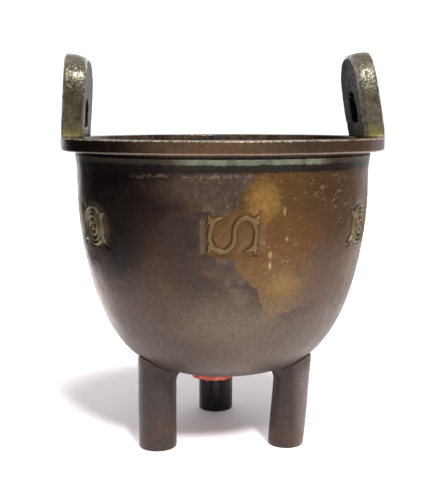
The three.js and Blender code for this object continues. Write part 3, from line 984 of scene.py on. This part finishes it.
def bronze_material():
    """The vessel's one material. Its face and point attributes come from build_vessel."""
    n = Nodes("patinated_bronze")
    large = n.noise(26, 4, 0.6)
    middle = n.noise(8, 5, 0.62, 0.4, n.moved((0.3, 0.1, 0.2)))
    fine = n.noise(1.6, 4, 0.6, 0.0, n.moved((0.7, 0.4, 0.1)))
    specks = n.noise(0.8, 2, 0.5, 0.0, n.moved((0.2, 0.9, 0.5)))
    u = n.math("MULTIPLY", n.math("ARCTAN2", n.x, n.math("MULTIPLY", n.y, -1.0)), BOWL_RADIUS)
    r = n.math("SQRT", n.math("ADD", n.math("MULTIPLY", n.x, n.x), n.math("MULTIPLY", n.y, n.y)))
    base = n.mix(n.step(large, 0.4, 0.62), colour(66, 52, 46), colour(98, 80, 66))
    base = n.lay(base, n.step(middle, 0.5, 0.68), 0.6, (112, 84, 58))
    base = n.lay(base, n.step(middle, 0.48, 0.34), 0.7, (50, 38, 36))
    base = wall_colours(n, u, n.joined(u, n.z), base, middle, fine)
    base = neck_colours(n, u, base, large, middle, fine)
    base = rim_colours(n, r, u, base, middle, fine, specks)
    base = handle_colours(n, base, middle, fine, specks)
    base = leg_colours(n, base, middle)
    base = n.grained(base, fine, 0.84, 1.16)
    base = n.grained(base, specks, 0.9, 1.1)
    base = n.lay(base, n.attribute("groove"), 0.65, (46, 37, 25))
    base = n.lay(base, n.attribute("crest"), 0.45, (156, 137, 97))
    base = n.lay(base, n.attribute("line"), 0.85, (22, 18, 15))
    n.put(n.shader.inputs["Base Color"], base)
    plate = n.attribute("plate")
    n.put(n.shader.inputs["Metallic"], n.span(plate, 0.4, 0.0))
    n.put(n.shader.inputs["Specular IOR Level"], n.span(plate, 0.35, 0.1))
    gloss = n.math("ADD", n.span(plate, 0.30, 0.5), n.math("MULTIPLY", middle, 0.28))
    glossy_left = n.times(n.step(u, -50, -75), 0.2)
    n.put(n.shader.inputs["Roughness"], n.math("SUBTRACT", gloss, glossy_left))
    pitted = n.bump(fine, 0.25, 0.25)
    wavy = n.bump(middle, 1.2, 0.16, pitted)
    n.put(n.shader.inputs["Normal"], n.bump(specks, 0.12, 0.3, wavy))
    return n.material


def wax_material():
    n = Nodes("sealing_wax")
    cloudy = n.noise(2.5, 3, 0.5)
    fine = n.noise(0.7, 3, 0.5, 0.0, n.moved((0.4, 0.2, 0.3)))
    base = n.mix(n.step(cloudy, 0.38, 0.62), colour(176, 62, 34), colour(214, 98, 58))
    n.put(n.shader.inputs["Base Color"], base)
    n.put(n.shader.inputs["Roughness"], n.math("ADD", 0.28, n.math("MULTIPLY", fine, 0.25)))
    n.shader.inputs["Subsurface Weight"].default_value = 0.15
    n.shader.inputs["Subsurface Radius"].default_value = (0.002, 0.0008, 0.0004)
    n.put(n.shader.inputs["Normal"], n.bump(fine, 0.2, 0.3))
    return n.material


def floor_material():
    n = Nodes("pale_floor")
    soft = n.noise(60, 2, 0.5)
    n.put(n.shader.inputs["Base Color"], n.mix(soft, colour(250, 243, 244), colour(252, 246, 247)))
    n.shader.inputs["Emission Color"].default_value = colour(252, 245, 246)
    # Painted shadow: less glow inside the ellipse under the vessel
    shade = n.patch(n.joined(n.x, n.y), PAINTED_SHADOW_CENTRE, PAINTED_SHADOW_RADII, 0.3, 0.0, 0.5)
    n.put(n.shader.inputs["Emission Strength"], n.span(shade, SHEET_GLOW, PAINTED_SHADOW_GLOW))
    n.shader.inputs["Roughness"].default_value = 0.7
    n.shader.inputs["Specular IOR Level"].default_value = 0.2
    return n.material


# Camera, floor and light

def add_camera():
    lens = bpy.data.cameras.new("camera")
    lens.sensor_width = SENSOR
    lens.lens = FOCAL_PX * SENSOR / max(FRAME_WIDTH, FRAME_HEIGHT)
    lens.clip_start = 0.01
    lens.clip_end = 50
    camera = bpy.data.objects.new("camera", lens)
    turn = math.radians(EYE_TURN)
    pitch = math.radians(EYE_PITCH)
    eye = (-EYE_DISTANCE * math.sin(turn), -EYE_DISTANCE * math.cos(turn), EYE_HEIGHT)
    camera.location = Vector(eye) * MM
    ahead = Vector((math.sin(turn) * math.cos(pitch), math.cos(turn) * math.cos(pitch), -math.sin(pitch)))
    lens.shift_x = (FRAME_WIDTH / 2 - AXIS_PX) / max(FRAME_WIDTH, FRAME_HEIGHT)
    camera.rotation_euler = ahead.to_track_quat("-Z", "Y").to_euler()
    bpy.context.scene.collection.objects.link(camera)
    bpy.context.scene.camera = camera


def add_floor():
    """A white sheet that ends short of the vessel's left, and runs far to the back and right."""
    mesh = bpy.data.meshes.new("floor")
    left, right, front, back = SHEET
    corner_points = [(left, front, 0), (right, front, 0), (right, back, 0), (left, back, 0)]
    mesh.from_pydata(corner_points, [], [(0, 1, 2, 3)])
    floor = bpy.data.objects.new("floor", mesh)
    mesh.materials.append(floor_material())
    bpy.context.scene.collection.objects.link(floor)


def add_key():
    """One large soft light, high up and from the right front."""
    light = bpy.data.lights.new("key", "SUN")
    light.energy = KEY_POWER
    light.angle = math.radians(KEY_SPREAD)
    key = bpy.data.objects.new("key", light)
    key.rotation_euler = Vector(KEY_FROM).to_track_quat("Z", "Y").to_euler()
    bpy.context.scene.collection.objects.link(key)


def add_world():
    """White at the right, behind and overhead, nearly black at the left and the left front."""
    world = bpy.data.worlds.new("studio")
    world.use_nodes = True
    bpy.context.scene.world = world
    tree = world.node_tree
    tree.nodes.clear()
    coords = tree.nodes.new("ShaderNodeTexCoord")
    glow = None
    for way, low, high, strength in PANELS:
        facing = tree.nodes.new("ShaderNodeVectorMath")
        facing.operation = "DOT_PRODUCT"
        facing.inputs[1].default_value = Vector(way).normalized()
        tree.links.new(coords.outputs["Generated"], facing.inputs[0])
        ramp = tree.nodes.new("ShaderNodeMapRange")
        ramp.interpolation_type = "SMOOTHSTEP"
        ramp.inputs["From Min"].default_value = low
        ramp.inputs["From Max"].default_value = high
        ramp.inputs["To Min"].default_value = DARK_SIDE
        ramp.inputs["To Max"].default_value = strength
        tree.links.new(facing.outputs["Value"], ramp.inputs["Value"])
        if glow is None:
            glow = ramp.outputs["Result"]
            continue
        brighter = tree.nodes.new("ShaderNodeMath")
        brighter.operation = "MAXIMUM"
        tree.links.new(glow, brighter.inputs[0])
        tree.links.new(ramp.outputs["Result"], brighter.inputs[1])
        glow = brighter.outputs[0]
    studio = tree.nodes.new("ShaderNodeBackground")
    tree.links.new(glow, studio.inputs["Strength"])
    backdrop = tree.nodes.new("ShaderNodeBackground")
    studio.inputs["Color"].default_value = (1, 1, 1, 1)
    backdrop.inputs["Color"].default_value = (1, 1, 1, 1)
    backdrop.inputs["Strength"].default_value = BACKDROP
    path = tree.nodes.new("ShaderNodeLightPath")
    mix = tree.nodes.new("ShaderNodeMixShader")
    tree.links.new(path.outputs["Is Camera Ray"], mix.inputs[0])
    tree.links.new(studio.outputs[0], mix.inputs[1])
    tree.links.new(backdrop.outputs[0], mix.inputs[2])
    output = tree.nodes.new("ShaderNodeOutputWorld")
    tree.links.new(mix.outputs[0], output.inputs["Surface"])


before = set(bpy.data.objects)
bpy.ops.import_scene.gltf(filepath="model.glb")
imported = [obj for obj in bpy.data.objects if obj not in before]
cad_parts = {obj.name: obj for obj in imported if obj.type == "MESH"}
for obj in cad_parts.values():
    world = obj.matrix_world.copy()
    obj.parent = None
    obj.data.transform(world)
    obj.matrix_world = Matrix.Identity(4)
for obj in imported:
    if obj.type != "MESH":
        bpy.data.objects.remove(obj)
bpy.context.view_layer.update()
bpy.context.scene.view_settings.view_transform = "Standard"
bpy.context.scene.view_settings.look = "None"
add_camera()
add_floor()
add_world()
add_key()

cast_vessel = build_vessel()
cast_vessel.data.materials.clear()
cast_vessel.data.materials.append(bronze_material())
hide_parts("vessel")
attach(cast_vessel, "root")

wax_lump = build_wax()
wax_lump.data.materials.append(wax_material())
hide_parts("wax_seal")
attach(wax_lump, "root")
